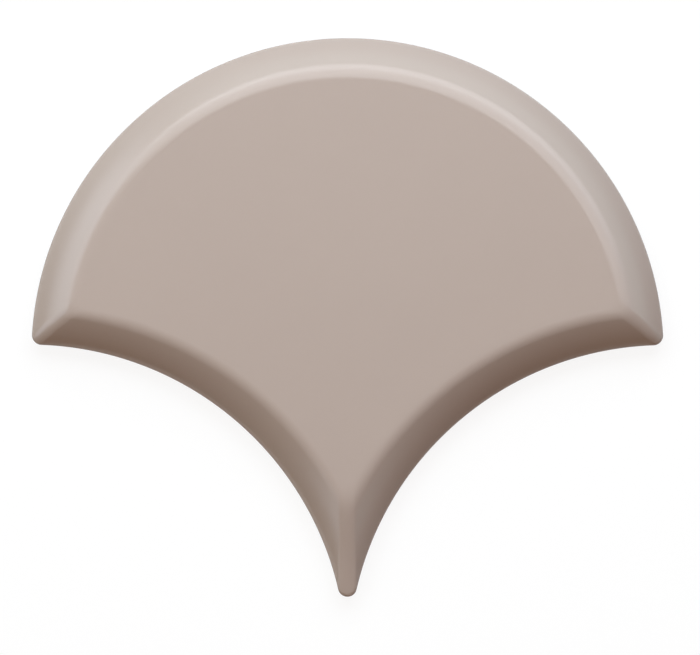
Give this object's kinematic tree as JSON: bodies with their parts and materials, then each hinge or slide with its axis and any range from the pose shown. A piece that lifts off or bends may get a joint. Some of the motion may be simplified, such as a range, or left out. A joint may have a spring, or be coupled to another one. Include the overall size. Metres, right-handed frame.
{
  "type": "fish scale tile",
  "caption": "Glazed ceramic wall tile in a fish scale outline: round head, hollow flanks that nest the heads of the next course, pointed tip, bevelled face and ribbed back.",
  "frame": {"origin": "centre of the round head's arc, on the plane that the back is bedded on", "axes": "+X across the tile, +Y from the tip towards the round head, +Z out of the glazed face"},
  "size_m": [0.1198, 0.106, 0.009],
  "materials": {
    "glaze": "satin-gloss warm greige glaze over a pale fired body that shows bare on the back"
  },
  "bodies": {
    "root": {"fish_scale_tile": "glaze"}
  },
  "joints": []
}
